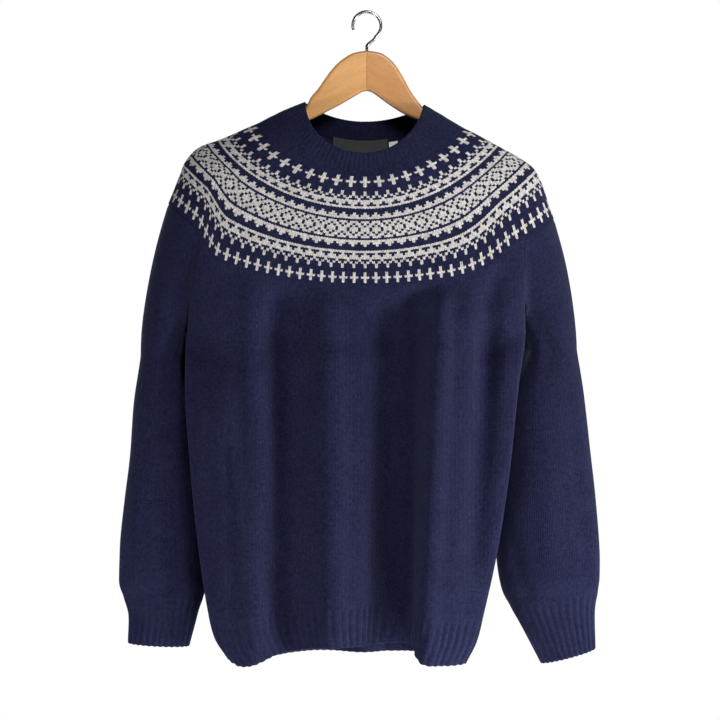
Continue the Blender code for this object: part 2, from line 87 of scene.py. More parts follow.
# Rings of the neckband and yoke. s is the cloth below the neckband at the front centre. The
# ends are where a ring crosses the shoulder ridge. fall says how soon the ring drops away from
# the ridge, ridge how broad the ridge is, and step how much of the drop is a step at the raglan
# lines.
RINGS = table(
    "s left_x left_z right_x right_z front_z back_z front_y back_y fall_left fall_right fall_back"
    " ridge step",
    (-24, -75.0, -106.5, 70.0, -110.0, -171.5, -128.0, 33, 27, 0.75, 1.00, 1.50, 0.22, 0.00),
    (0, -101.6, -117.2, 90.4, -122.0, -195.5, -151.0, 37, 31, 0.80, 1.05, 1.50, 0.20, 0.00),
    (4, -132.6, -133.2, 118.0, -139.2, -199.5, -156.6, 38, 32, 1.00, 1.28, 1.50, 0.17, 0.00),
    (10, -140.0, -136.4, 125.2, -142.4, -205.5, -165.0, 39, 33, 1.10, 1.40, 1.50, 0.15, 0.00),
    (38, -174.2, -151.4, 154.0, -158.0, -233.4, -194.0, 41, 35, 1.35, 1.60, 1.60, 0.10, 0.00),
    (67, -201.2, -161.6, 179.2, -171.8, -261.7, -223.0, 43, 36, 1.50, 1.65, 1.60, 0.08, 0.30),
    (90, -218.0, -179.6, 199.6, -186.2, -284.4, -246.0, 44, 36, 1.65, 1.70, 1.65, 0.06, 0.65),
    (107, -224.6, -196.4, 210.4, -206.0, -301.3, -264.0, 45, 36, 1.75, 1.75, 1.70, 0.06, 0.85),
    (124, -232.4, -215.6, 218.8, -232.4, -318.2, -282.0, 46, 36, 1.80, 1.80, 1.70, 0.06, 1.00),
    (135, -237.8, -228.8, 224.4, -246.8, -329.0, -293.0, 46, 36, 1.80, 1.80, 1.70, 0.06, 1.00),
)
RING_CENTRE_X = -2
NECK_TOP, YOKE_TOP, YOKE_EDGE = -24, 0, 135
DEPTH_ROUND = 0.6
STEP_FALL_OUTER, STEP_FALL_INNER = 1.8, 0.85
STEP_LEFT = (0.50, 0.68)
STEP_RIGHT = (0.60, 0.90)

# The body's two edges, downwards: the raglan lines to the underarm, then one side seam.
# row counts the panel's facets from the yoke's edge.
LEFT_EDGE = table(
    "row z front_x front_y back_x back_y",
    (0, -272, -197, -37, -197, 29),
    (2.5, -330, -208, -30, -203, 18),
    (5, -386, -216, -4, -216, -4),
    (5.5, -404, -217, -12, -217, -12),
    (6.5, -440, -217, -20, -217, -20),
    (9, -548, -210, -26, -210, -26),
    (11.5, -640, -200.5, -26, -200.5, -26),
    (14, -718, -189, -22, -189, -22),
    (15, -746, -182, -20, -182, -20),
    (16, -772, -166, -18, -166, -18),
)
RIGHT_EDGE = table(
    "row z front_x front_y back_x back_y",
    (0, -266, 186, -37, 186, 29),
    (2.5, -330, 188, -30, 184, 18),
    (5, -380, 191, -4, 191, -4),
    (5.5, -400, 189, -12, 189, -12),
    (6.5, -440, 182.5, -20, 182.5, -20),
    (9, -548, 170.5, -26, 170.5, -26),
    (11.5, -640, 156.5, -26, 156.5, -26),
    (14, -722, 139, -22, 139, -22),
    (15, -750, 132, -20, 132, -20),
    (16, -777, 119, -18, 119, -18),
)
LAST_SIDE_ROW = RAGLAN_STEPS + SIDE_STEPS
LAST_HEM_ROW = LAST_SIDE_ROW + HEM_STEPS
BODY_DEPTH = table(
    "row front_y back_y",
    (0, -46, 36),
    (5, -48, 38),
    (11, -48, 38),
    (16, -44, 34),
)
# The hem's lower edge, by share of the width from the wearer's right side.
HEM_EDGE = table(
    "share front_z back_z",
    (0.00, -772, -772),
    (0.05, -779, -773),
    (0.23, -763, -770),
    (0.45, -753, -768),
    (0.70, -753, -768),
    (0.76, -757, -768),
    (0.82, -771, -769),
    (0.92, -776, -772),
    (1.00, -777, -777),
)

# The largest folds, each a soft ridge (rise > 0) or trough (rise < 0) down a panel.
FRONT_FOLDS = table(
    "top_x top_z low_x low_z top_half low_half top_rise low_rise",
    (-168, -270, -148, -720, 44, 40, 4, 8),
    (-92, -330, -88, -740, 30, 28, -6, -10),
    (-38, -330, -36, -740, 20, 22, 5, 9),
    (26, -310, 26, -760, 36, 26, -12, -22),
    (94, -320, 82, -770, 28, 40, 8, 16),
    (148, -330, 126, -620, 26, 20, -8, -4),
)
BACK_FOLDS = table(
    "top_x top_z low_x low_z top_half low_half top_rise low_rise",
    (-142, -300, -124, -760, 34, 30, -5, -12),
    (-72, -290, -68, -760, 36, 34, 5, 10),
    (4, -280, -6, -760, 30, 28, -6, -14),
    (72, -300, 56, -760, 34, 34, 6, 11),
    (138, -320, 98, -700, 28, 24, -7, -8),
)

FOLD_FADE_IN, FOLD_FADE_OUT, FOLD_SHARPNESS = 0.2, 0.25, 1.6

# Sections of the sleeves, downwards. row 4 is the first whole ring below the underarm, row 10
# is the top of the cuff. drop is how far the inner edge hangs below the section's centre.
RIGHT_SLEEVE = table(
    "row x y z half_width half_depth drop",
    (4, -244.2, 20, -410, 29.5, 33, 0),
    (5, -236.5, 20, -464, 45.0, 34, 0),
    (6, -237.5, 20, -524, 48.5, 33, 0),
    (7, -241.0, 20, -584, 51.5, 32, 0),
    (8, -244.0, 20, -644, 54.0, 30, 0),
    (9, -245.0, 20, -682, 54.0, 28, 0),
    (10, -245.0, 20, -702, 48.5, 25, 0),
    (11, -245.5, 20, -722, 42.0, 22, 0),
    (12, -251.0, 20, -759, 37.0, 19, 2),
)
LEFT_SLEEVE = table(
    "row x y z half_width half_depth drop",
    (4, 220.6, 20, -404, 33.0, 33, 0),
    (5, 212.5, 20, -464, 51.0, 34, 2),
    (6, 214.5, 20, -524, 56.0, 33, 3),
    (7, 217.5, 20, -584, 60.0, 32, 4),
    (8, 219.5, 20, -644, 62.0, 30, 5),
    (9, 223.0, 20, -684, 59.0, 28, 8),
    (10, 227.0, 20, -704, 53.0, 25, 9),
    (11, 231.5, 20, -726, 45.0, 22, 10),
    (12, 243.5, 20, -773, 33.5, 19, 9),
)
CAP_EASE = 1.7

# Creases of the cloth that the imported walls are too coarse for, in the folds' own columns
FRONT_CREASES = table(
    "top_x top_z low_x low_z top_half low_half top_rise low_rise",
    (94, -195, 68, -800, 16, 15, 9.0, 12.0),
    (62, -195, 38, -790, 18, 15, -15.0, -14.0),
    (28, -220, 14, -770, 26, 22, -4.0, -6.0),
    (-50, -195, -46, -740, 22, 24, 8.0, 7.0),
    (-106, -190, -98, -700, 22, 21, -13.0, -10.0),
    (-140, -240, -132, -740, 17, 16, 3.5, 4.5),
    (-158, -430, -112, -720, 17, 22, -4.0, -4.0),
    (156, -190, 136, -620, 19, 17, -12.0, -6.0),
    (124, -250, 104, -760, 15, 18, 2.5, 2.0),
    (-168, -470, -156, -790, 9, 10, -1.6, -2.4),
)
BACK_CREASES = table(
    "top_x top_z low_x low_z top_half low_half top_rise low_rise",
    (-104, -330, -96, -776, 12, 12, 2.4, 4.0),
    (-30, -320, -38, -700, 13, 15, 1.8, 2.4),
    (38, -330, 22, -776, 11, 11, 2.6, 3.8),
    (112, -350, 86, -776, 12, 12, -2.0, -3.2),
    (-150, -440, -132, -760, 13, 14, 1.8, 2.6),
    (92, -420, 76, -690, 12, 13, 1.6, 2.0),
)
# A sleeve's creases run from one row and column of its sections to another.
SLEEVE_CREASES = table(
    "side top_row top_column low_row low_column half rise",
    (-1, 1.5, 2.2, 5.2, 6.5, 1.1, -3.0),
    (-1, 2.6, 1.0, 6.6, 3.4, 1.0, -2.6),
    (-1, 5.2, 1.4, 5.9, 8.8, 0.8, -1.6),
    (-1, 6.2, 8.4, 9.8, 7.4, 0.9, 1.8),
    (-1, 7.2, 4.2, 10, 4.8, 1.0, -2.0),
    (-1, 1.5, 18.6, 6.0, 15.0, 1.2, -3.0),
    (-1, 6.0, 17.5, 10, 16.4, 1.0, 2.4),
    (-1, 5.5, 13.2, 9.6, 13.6, 1.0, -2.2),
    (1, 1.2, 2.4, 4.8, 6.2, 1.1, -3.2),
    (1, 2.8, 1.2, 7.2, 3.0, 1.1, -2.4),
    (1, 4.6, 7.6, 10, 8.2, 0.9, -1.8),
    (1, 5.4, 5.6, 9.8, 5.4, 1.1, 2.2),
    (1, 7.6, 2.8, 10, 3.6, 0.9, -2.2),
    (1, 1.8, 18.4, 6.4, 15.2, 1.2, -3.0),
    (1, 6.4, 17.0, 10, 16.6, 1.0, 2.2),
    (1, 4.8, 13.0, 9.4, 13.4, 1.0, -2.2),
)
CREASE_FADE = 0.25
WAVE_SIZE, WAVE_RISE = 46, 1.3

# How fine the shells are, in rows and columns of vertices
BODY_ROWS = 136
SLEEVE_ROWS = 126
HEM_ROWS, CUFF_ROWS, NECK_ROWS = 22, 20, 14
RIM_STEPS = 5
INNER_ROWS = 8
YOKE_INNER_COLUMNS = 360

# Knitting: a stitch's width and height, the ribs, and the dip of the cloth at a seam
WALE, COURSE = 3.2, 2.546
RIB_COLUMNS = 8
HEM_RIBS, CUFF_RIBS, NECK_RIBS = 37, 26, 84
RIB_DEPTH, NECK_RIB_DEPTH = 1.15, 0.35
SEAM_DIP, SEAM_HALF = 0.8, 3.0
SEAM_COLUMNS = (0.8, 1.7, 2.8, 4.2)
# The white yarn varies at random from face to face, down to this share of its full brightness
YARN_DARKEST = 0.55

# The label and the size tab inside the back neck
LABEL_WIDTH, LABEL_TOP, LABEL_BOTTOM = 66, -1.5, 14
LABEL_MIDDLE = -7.5
LABEL_THICK = 0.8
LABEL_INSIDE = RIB + SEAM_GAP
TAB_WIDTH, TAB_HEIGHT, TAB_TOP = 10.5, 7, 1.5
TAB_MIDDLE = 32.5

# Hanger and hook
WOOD_THICK = 12
WOOD_EDGE = 3.8
JOINT_GAP = 0.3
ARM_UNDER_NECK, ARM_CLEARANCE = 9.5, 1.05
NECK_HALF = 92
ARM_END_LEFT, ARM_END_RIGHT = -198, 178
ARM_HEIGHT = 17
DOME = table(
    "left_x right_x z",
    (-15, 16, -47.0),
    (-25, 25, -52.5),
    (-35, 33, -60.0),
    (-43, 39, -69.0),
    (-51, 45.5, -80.0),
    (-59, 51.5, -92.0),
    (-68, 58, -101.5),
)
DOME_TOP = -45
ARM_START, ARM_POINTS, TIP_LENGTH = 74, 8, 10
TIP_HIGH, TIP_LOW, TIP_FLAT = 0.45, 0.95, 4
UNDERSIDE = table(
    "left_x right_x z",
    (-70.0, 63, -129.0),
    (-53.5, 44, -120.8),
    (-30.7, 26, -109.0),
    (-13.0, 12, -98.5),
    (-5.5, 5.5, -94.0),
)
NOTCH_TOP = -93
WIRE = 1.9
HOOK_RADIUS = 15
HOOK_TIP_ANGLE, HOOK_NECK_ANGLE, HOOK_POINTS = 196, -52, 26
SHANK_BEND = 12


LABEL_ROWS, LABEL_COLUMNS = 14, 40
OUTLINE_CUTS, EDGE_STEPS, WOOD_FACE = 3, 6, 5.0
JOINT_LINE, JOINT_GROOVE = 0.01, 0.3
ARM_LEAN = math.radians(24)

NAVY_DARK, NAVY_LIGHT = (0.0060, 0.0063, 0.0260, 1), (0.0155, 0.0172, 0.0470, 1)
YARN_WHITE = (0.70, 0.662, 0.628, 1)
FIBRE_COLOUR = (0.075, 0.083, 0.13, 1)
CHARCOAL = (0.022, 0.026, 0.026, 1)
TAB_WHITE = (0.7, 0.7, 0.68, 1)
STEEL_DARK, STEEL_LIGHT = (0.22, 0.22, 0.23, 1), (0.4, 0.4, 0.41, 1)
FLOOR_DARK, FLOOR_LIGHT = (0.86, 0.86, 0.86, 1), (0.9, 0.9, 0.9, 1)
# How dark the hollows of the white yarn and the flecks of the wood are, as a share of the rest
YARN_SHADOW, FLECK_SHADOW = 0.72, 0.45

AMBIENT = 0.025
FLOOR_Z, FLOOR_RADIUS = -1.6, 2.2
# Lights: name, place, size and power
LIGHTS = (
    ("key", (2.3, -0.9, -1.25), 0.6, 74),
    ("fill", (-0.95, -0.55, -1.15), 0.35, 11.5),
    ("side", (0.95, -0.45, -1.3), 0.35, 6),
    ("low", (0.3, -0.34, -1.3), 0.3, 5),
    ("top", (0.22, -0.62, 0.32), 0.3, 5.6),
    ("back_key", (-1.5, 2.4, 0.2), 1.6, 50),
)

# The yoke's chart, downwards: each band's stitch width, how many stitches its repeat is shifted
# by at the front centre, and its rounds. X is white. Between bands one plain round takes up
# the change in the number of stitches.
CHART_START = 4.0
BANDS = (
    (4.11, 0, ".... .... X... X... XX.X X... X... ...."),
    (3.57, 0, "X... X... .X.X ..X. XXXX XX.X X... XXXX ...."),
    (3.20, 0, "X... XX.X XXXX"),
    (3.39, 4, "XX.XXX.X .XX.X.XX X.XX.XX. XX.XXX.X XX.XXX.X X.XX.XX. .XX.X.XX XX.XXX.X"),
    (3.60, 0, "XXXX XX.X X... ...."),
    (3.33, 0, "XXXX X... XX.X XXXX ..X. .X.X X... X... ...."),
    (3.20, 0, "X... X... XX.X X... X... .... ...."),
)
STITCH_RELIEF = np.array([-0.32, 0.26, -0.05, 0.26])
STITCH_SLOPE = np.array([-0.14, 0.02, 0.16, 0.02])
STITCH_JITTER = 0.05
CHART_MARGIN = 2
NORMAL_TURN = 0.002
REFERENCE_ROW = 11
# Rows below the yoke over which the creases grow to their full depth
CREASE_FADE_ROWS = 1.5
RIB_WALES = 4
RIB_FADE = 5
RIB_START, RIB_ROWS = 0.1, 0.4
CUFF_TOP, CUFF_LOW = 10, 12
SLEEVE_ROW_POWER = 1.1


def curve(xs, ys, at):
    """A smooth curve through the points that never overshoots them."""
    at = np.clip(at, xs[0], xs[-1])
    step = np.diff(xs)
    slope = np.diff(ys) / step
    inner = np.where(slope[1:] * slope[:-1] > 0, 1.0, 0.0)
    total = np.where(inner > 0, slope[1:] + slope[:-1], 1.0)
    middle = inner * 2 * slope[1:] * slope[:-1] / total
    tangent = np.concatenate([slope[:1], middle, slope[-1:]])
    i = np.clip(np.searchsorted(xs, at, side="right") - 1, 0, len(step) - 1)
    t = (at - xs[i]) / step[i]
    start = (2 * t**3 - 3 * t**2 + 1) * ys[i] + (t**3 - 2 * t**2 + t) * step[i] * tangent[i]
    end = (3 * t**2 - 2 * t**3) * ys[i + 1] + (t**3 - t**2) * step[i] * tangent[i + 1]
    return start + end


def read(tab, name, at):
    """A table's column at a value of its first column."""
    return curve(next(iter(tab.values())), tab[name], at)


def smooth(t):
    t = np.clip(t, 0, 1)
    return t * t * (3 - 2 * t)


def mix(a, b, t):
    return a + (b - a) * t


def ring_point(s, angle):
    """A point of the neckband and yoke. angle is 0 at the front and 90 degrees at +X."""
    s, angle = np.broadcast_arrays(np.asarray(s, float), np.asarray(angle, float))
    across, c = np.sin(angle), np.abs(np.cos(angle))
    right, front = across >= 0, np.cos(angle) >= 0
    size = {name: read(RINGS, name, s) for name in RINGS if name != "s"}
    reach = np.where(right, size["right_x"] - RING_CENTRE_X, RING_CENTRE_X - size["left_x"])
    end_z = np.where(right, size["right_z"], size["left_z"])
    low_z = np.where(front, size["front_z"], size["back_z"])
    fall = np.where(front, np.where(right, size["fall_right"], size["fall_left"]), size["fall_back"])
    ridge = size["ridge"]
    rounded = (np.sqrt(c * c + ridge**2) - ridge) / (np.sqrt(1 + ridge**2) - ridge)
    start = np.where(right, STEP_RIGHT[0], STEP_LEFT[0])
    end = np.where(right, STEP_RIGHT[1], STEP_LEFT[1])
    inner = smooth((c - start) / (end - start))
    stepped = mix(rounded**STEP_FALL_OUTER, rounded**STEP_FALL_INNER, inner)
    drop = mix(rounded**fall, stepped, size["step"] * front)
    depth = c * math.sqrt(1 + DEPTH_ROUND**2) / np.sqrt(c * c + DEPTH_ROUND**2)
    x = RING_CENTRE_X + reach * across
    y = np.where(front, -size["front_y"], size["back_y"]) * depth
    return np.stack([x, y, mix(end_z, low_z, drop)], -1)


def edge_point(edge, side, face, row):
    """A point of a body edge: a raglan line above the underarm, the side seam below it."""
    row = np.asarray(row, float)
    out = [read(edge, name, row) for name in (face + "_x", face + "_y", "z")]
    point = np.stack(out, -1)
    angle = side * (RAGLAN_ANGLE if face == "front" else math.pi - RAGLAN_ANGLE)
    top = ring_point(YOKE_EDGE, angle)
    drawn = np.array([edge[face + "_x"][0], edge[face + "_y"][0], edge["z"][0]])
    share = np.clip(1 - row / RAGLAN_STEPS, 0, 1)
    return point + (top - drawn) * share[..., None]


def folds(tab, x, z):
    """How far the ridges and troughs lift the cloth at a point of a panel."""
    lift = 0
    for i in range(len(tab["top_x"])):
        fold = {name: column[i] for name, column in tab.items()}
        along = (fold["top_z"] - z) / (fold["top_z"] - fold["low_z"])
        middle = mix(fold["top_x"], fold["low_x"], along)
        half = mix(fold["top_half"], fold["low_half"], np.clip(along, 0, 1))
        rise = mix(fold["top_rise"], fold["low_rise"], np.clip(along, 0, 1))
        fade = smooth(along / FOLD_FADE_IN) * smooth((1 + FOLD_FADE_OUT - along) / FOLD_FADE_OUT)
        lift = lift + rise * fade * np.exp(-(((x - middle) / half) ** 2) * FOLD_SHARPNESS)
    return lift


def panel_point(face, row, angle):
    """A point of the front or the back. angle is that of the yoke's ring above it."""
    row, angle = np.broadcast_arrays(np.asarray(row, float), np.asarray(angle, float))
    limit = RAGLAN_ANGLE if face == "front" else math.pi - RAGLAN_ANGLE
    top = ring_point(YOKE_EDGE, angle)
    low_x = ring_point(YOKE_EDGE, -limit)[0]
    high_x = ring_point(YOKE_EDGE, limit)[0]
    share = (top[..., 0] - low_x) / (high_x - low_x)
    left = edge_point(LEFT_EDGE, -1, face, row)
    right = edge_point(RIGHT_EDGE, 1, face, row)
    edge = mix(left, right, share[..., None])
    hem_z = read(HEM_EDGE, face + "_z", share)
    fall = []
    for points, tab, side in ((left, LEFT_EDGE, -1), (right, RIGHT_EDGE, 1)):
        start = edge_point(tab, side, face, 0)[2]
        fall.append((points[..., 2] - start) / (tab["z"][-1] - start))
    down = mix(fall[0], fall[1], share)
    z = mix(top[..., 2], hem_z, down)
    across = np.clip(2 * share - 1, -1, 1)
    middle_y = read(BODY_DEPTH, face + "_y", row)
    power = 0.5 if face == "front" else 0.9
    round_y = mix(edge[..., 1], middle_y, (1 - across**2) ** power)
    start_y = top[..., 1] + edge[..., 1] - mix(
        edge_point(LEFT_EDGE, -1, face, 0)[1], edge_point(RIGHT_EDGE, 1, face, 0)[1], share
    )
    y = mix(start_y, round_y, smooth(row / RAGLAN_STEPS))
    sign = -1 if face == "front" else 1
    tab = FRONT_FOLDS if face == "front" else BACK_FOLDS
    y = y + sign * folds(tab, edge[..., 0], z) * (1 - np.abs(across) ** 6) * smooth(row / 2)
    return np.stack([edge[..., 0], y, z], -1)


def armhole_point(side, column):
    """The sleeve's top edge. column runs from the underarm up the front and down the back."""
    column = np.asarray(column, float)
    edge = LEFT_EDGE if side < 0 else RIGHT_EDGE
    front = edge_point(edge, side, "front", np.clip(RAGLAN_STEPS - column, 0, RAGLAN_STEPS))
    over = np.clip((column - RAGLAN_STEPS) / SHOULDER_STEPS, 0, 1)
    yoke = ring_point(YOKE_EDGE, side * mix(RAGLAN_ANGLE, math.pi - RAGLAN_ANGLE, over))
    down = np.clip(column - RAGLAN_STEPS - SHOULDER_STEPS, 0, RAGLAN_STEPS)
    back = edge_point(edge, side, "back", down)
    on_front = (column < RAGLAN_STEPS)[..., None]
    on_back = (column > RAGLAN_STEPS + SHOULDER_STEPS)[..., None]
    return np.where(on_front, front, np.where(on_back, back, yoke))


SLEEVE_COLUMNS = 2 * RAGLAN_STEPS + SHOULDER_STEPS


def section_point(side, row, column):
    """A point of a sleeve's oval section. The inner edge is column 0, and the front comes next."""
    tab = RIGHT_SLEEVE if side < 0 else LEFT_SLEEVE
    size = {name: read(tab, name, row) for name in tab if name != "row"}
    turn = 2 * math.pi * column / SLEEVE_COLUMNS
    inward = np.cos(turn)
    x = size["x"] - side * size["half_width"] * inward
    y = size["y"] - size["half_depth"] * np.sin(turn)
    return np.stack([x, y, size["z"] - size["drop"] * inward], -1)


def sleeve_point(side, row, column):
    """A point of a sleeve, from its armhole through the cap to the oval sections."""
    row, column = np.broadcast_arrays(np.asarray(row, float), np.asarray(column, float))
    down = np.clip(row / CAP_STEPS, 0, 1)
    eased = 1 - (1 - down) ** CAP_EASE
    share = np.stack([eased, eased, down], -1)
    section = section_point(side, np.maximum(row, CAP_STEPS), column)
    return mix(armhole_point(side, column), section, share)



def even_angles(s, shares):
    """The angles at shares of a ring's length, from the front centre, and that length."""
    turn = np.linspace(0, 2 * math.pi, 1441)
    steps = np.linalg.norm(np.diff(ring_point(s, turn), axis=0), axis=1)
    length = np.concatenate([[0], np.cumsum(steps)])
    return np.interp(np.asarray(shares) % 1, length / length[-1], turn), length[-1]


def waves(points):
    """Slow unevenness of hanging cloth, the same wherever two panels meet."""
    x, y, z = (points[..., i] / WAVE_SIZE for i in range(3))
    slow = np.sin(x * 1.3 + 0.9 * np.sin(z * 0.8 + y)) * np.sin(z * 0.55 + 0.7 * np.sin(x * 0.9))
    quick = np.sin(x * 2.9 + z * 0.5 + 1.7 * np.sin(z * 0.7)) * np.sin(z * 1.1 + y * 2.0 + 0.6)
    return WAVE_RISE * (0.6 * slow + 0.4 * quick)


def unit(vectors):
    return vectors / np.maximum(np.linalg.norm(vectors, axis=-1), 1e-9)[..., None]


def normals(points, wrap, turn):
    """Outward normals of a grid of points."""
    down = np.gradient(points, axis=0)
    if wrap:
        along = np.roll(points, -1, 1) - np.roll(points, 1, 1)
    else:
        along = np.gradient(points, axis=1)
    return unit(np.cross(down, along)) * turn


def join(a, n, b, m, wrap):
    """Faces between two rows of n and m vertices that start at a and b."""
    if n == m:
        c = np.arange(n if wrap else n - 1)
        d = (c + 1) % n
        return np.stack([a + c, b + c, b + d, a + d], 1).tolist()
    faces, i, j = [], 0, 0
    while i < n or j < m:
        if j >= m or (i < n and (i + 1) * m <= (j + 1) * n):
            faces.append([a + i % n, b + j % m, a + (i + 1) % n])
            i += 1
        else:
            faces.append([a + i % n, b + j % m, b + (j + 1) % m])
            j += 1
    return faces


def rim(first, last, out):
    """Rows that round a free edge from one row of points to another."""
    middle, half = (first + last) / 2, (first - last) / 2
    size = np.linalg.norm(half, axis=-1)[:, None]
    angles = np.linspace(0, math.pi, RIM_STEPS + 2)[1:-1]
    return [middle + half * math.cos(a) + out * size * math.sin(a) for a in angles]


def shell(name, outer, inner, wrap=True, turn=1, rounded="", stitch=None, yarn=None):
    """A closed wall through rows of outer points and rows of inner ones.

    rounded names the free edges, top and low. stitch has each outer point's stitch number across
    and down, and yarn says for each outer row of faces which are white.
    """
    outer, inner = list(outer), list(inner)
    low = rim(outer[-1], inner[-1], unit(outer[-1] - outer[-2])) if "low" in rounded else []
    top = rim(inner[0], outer[0], unit(outer[0] - outer[1])) if "top" in rounded else []
    rows = outer + low + inner[::-1] + top
    sizes = [len(row) for row in rows]
    starts = np.concatenate([[0], np.cumsum(sizes)]).astype(int)
    faces, white = [], []
    for r in range(len(rows)):
        q = (r + 1) % len(rows)
        new = join(int(starts[r]), sizes[r], int(starts[q]), sizes[q], wrap)
        faces += new
        known = yarn[r] if yarn is not None and r < len(yarn) and yarn[r] is not None else None
        white += [0.0] * len(new) if known is None else list(known)
    if not wrap:
        last_row = len(outer) - 1
        for column in (0, sizes[0] - 1):
            sides = []
            for r in range(last_row):
                far = len(outer) + len(low) + last_row - r
                sides.append([starts[r + 1], starts[r], starts[far], starts[far - 1]])
            sides.append([starts[i] for i in range(last_row, last_row + len(low) + 2)][::-1])
            if top:
                sides.append([starts[0]] + [starts[len(rows) - 1 - i] for i in range(len(top) + 1)])
            for side in sides:
                face = [int(i) + column for i in side]
                if len(face) > 2:
                    faces.append(face[::-1] if column else face)
                    white.append(0.0)
    if turn < 0:
        faces = [face[::-1] for face in faces]
    mesh = bpy.data.meshes.new(name)
    mesh.from_pydata((np.concatenate(rows) * MM).tolist(), [], faces)
    mesh.shade_smooth()
    mesh.set_sharp_from_angle(angle=math.radians(80))
    if stitch is not None:
        maps = []
        for values in stitch:
            back = np.linspace(len(outer) - 1, 0, len(inner)).astype(int)
            order = [*range(len(outer)), *[len(outer) - 1] * len(low), *back, *[0] * len(top)]
            maps.append(values[order].ravel())
        corner = np.zeros(len(mesh.loops), int)
        mesh.loops.foreach_get("vertex_index", corner)
        across, down = maps[0][corner], maps[1][corner]
        if wrap:
            total = stitch[0].max() + stitch[0][0, 1] - stitch[0][0, 0]
            size = np.zeros(len(mesh.polygons), int)
            mesh.polygons.foreach_get("loop_total", size)
            start = np.concatenate([[0], np.cumsum(size)[:-1]])
            high = np.repeat(np.maximum.reduceat(across, start), size)
            across = np.where(high - across > total / 2, across + total, across)
        layer = mesh.uv_layers.new(name="stitch")
        layer.data.foreach_set("uv", np.stack([across, down], -1).ravel())
    if yarn is not None:
        mesh.attributes.new("white_yarn", "FLOAT", "FACE").data.foreach_set("value", white)
    piece = bpy.data.objects.new(name, mesh)
    bpy.context.scene.collection.objects.link(piece)
    return piece


def rib_relief(shares, ribs, depth):
    """Upright ribs: raised bands with narrower grooves between them."""
    wave = np.cos(2 * math.pi * ribs * shares)
    return depth * (smooth(0.62 + 0.75 * wave) - 0.8)


def ring_normal(s, angle):
    """The outward normal of the neckband and yoke."""
    down = ring_point(s + 1, angle) - ring_point(s - 1, angle)
    along = ring_point(s, angle + NORMAL_TURN) - ring_point(s, angle - NORMAL_TURN)
    return unit(np.cross(down, along))


def lifted_ring(s, angle, lift):
    return ring_point(s, angle) + ring_normal(s, angle) * np.broadcast_to(lift, angle.shape)[..., None]


def make_yoke():
    charts = [chart.split() for _, _, chart in BANDS]
    rounds = sum(len(chart) for chart in charts) + len(BANDS) - 1
    last = CHART_START + COURSE * (rounds - CHART_MARGIN * 2)
    edges = np.concatenate([
        np.linspace(0, CHART_START, CHART_MARGIN, endpoint=False),
        np.linspace(CHART_START, last, rounds - CHART_MARGIN * 2, endpoint=False),
        np.linspace(last, YOKE_EDGE, CHART_MARGIN + 1),
    ])
    random = np.random.default_rng(7)
    columns = len(STITCH_RELIEF)
    outer, yarn, edge = [], [], 0
    for (width, shift, _), chart in zip(BANDS, charts):
        length = even_angles((edges[edge] + edges[edge + len(chart)]) / 2, [0])[1]
        repeat = len(chart[-1])
        stitches = repeat * round(length / width / repeat)
        numbers = np.arange(stitches * columns)
        for r in range(len(chart) + 1):
            s = edges[edge + r]
            angle = even_angles(s, (numbers / columns - 0.5) / stitches)[0]
            inside = 0.0 if s in (0, YOKE_EDGE) else 1.0
            jitter = random.normal(0, STITCH_JITTER, stitches).repeat(columns)
            down = s + inside * COURSE * (np.tile(STITCH_SLOPE, stitches) + jitter)
            lift = inside * (np.tile(STITCH_RELIEF, stitches) + jitter)
            outer.append(lifted_ring(down, angle, lift))
            if r < len(chart):
                white = np.array([mark == "X" for mark in chart[r]], float)
                shade = random.uniform(YARN_DARKEST, 1, len(numbers))
                yarn.append(white[(numbers // columns + shift) % repeat] * shade)
        yarn.append(None)
        edge += len(chart) + 1
    shares = np.arange(YOKE_INNER_COLUMNS) / YOKE_INNER_COLUMNS
    inner = [
        lifted_ring(s, even_angles(s, shares)[0], -CLOTH)
        for s in np.linspace(0, YOKE_EDGE, INNER_ROWS)
    ]
    return shell("yoke_knit", outer, inner, yarn=yarn)


def make_neckband():
    shares = np.arange(NECK_RIBS * RIB_COLUMNS) / (NECK_RIBS * RIB_COLUMNS)
    outer = []
    for s in np.linspace(NECK_TOP, YOKE_TOP, NECK_ROWS):
        fade = smooth((YOKE_TOP - s) / RIB_FADE)
        lift = fade * rib_relief(shares, NECK_RIBS, NECK_RIB_DEPTH)
        outer.append(lifted_ring(s, even_angles(s, shares)[0], lift))
    inner = [
        lifted_ring(s, even_angles(s, shares)[0], -RIB)
        for s in np.linspace(NECK_TOP, YOKE_TOP, INNER_ROWS)
    ]
    down = np.linspace(0, -NECK_TOP / COURSE, NECK_ROWS)[:, None]
    stitch = np.broadcast_arrays(shares[None, :] * NECK_RIBS * RIB_WALES, down)
    return shell("neckband_rib", outer, inner, rounded="top", stitch=stitch)


def even_columns(points_at, wrap, count, extra=()):
    """Places along a row of a panel that are evenly spaced by length, from 0 to 1."""
    dense = (1 - np.cos(np.linspace(0, math.pi, 4001))) / 2
    steps = np.linalg.norm(np.diff(points_at(dense), axis=0), axis=1)
    length = np.concatenate([[0], np.cumsum(steps)])
    wanted = np.linspace(0, length[-1], count, endpoint=not wrap)
    beside = [end for e in extra for end in (e, length[-1] - e)]
    wanted = np.sort(np.concatenate([wanted, beside]))
    return np.interp(wanted, length, dense), wanted, length[-1]


def face_angle(face, share):
    """The yoke ring's angle over a place across the front or back, from 0 at the wearer's right."""
    limit = RAGLAN_ANGLE if face == "front" else math.pi - RAGLAN_ANGLE
    low_x, high_x = (ring_point(YOKE_EDGE, side * limit)[0] for side in (-1, 1))
    x = mix(low_x, high_x, np.asarray(share, float)) - RING_CENTRE_X
    left, right = RINGS["left_x"][-1] - RING_CENTRE_X, RINGS["right_x"][-1] - RING_CENTRE_X
    angle = np.arcsin(np.where(x > 0, x / right, -x / left))
    return angle if face == "front" else math.pi - angle


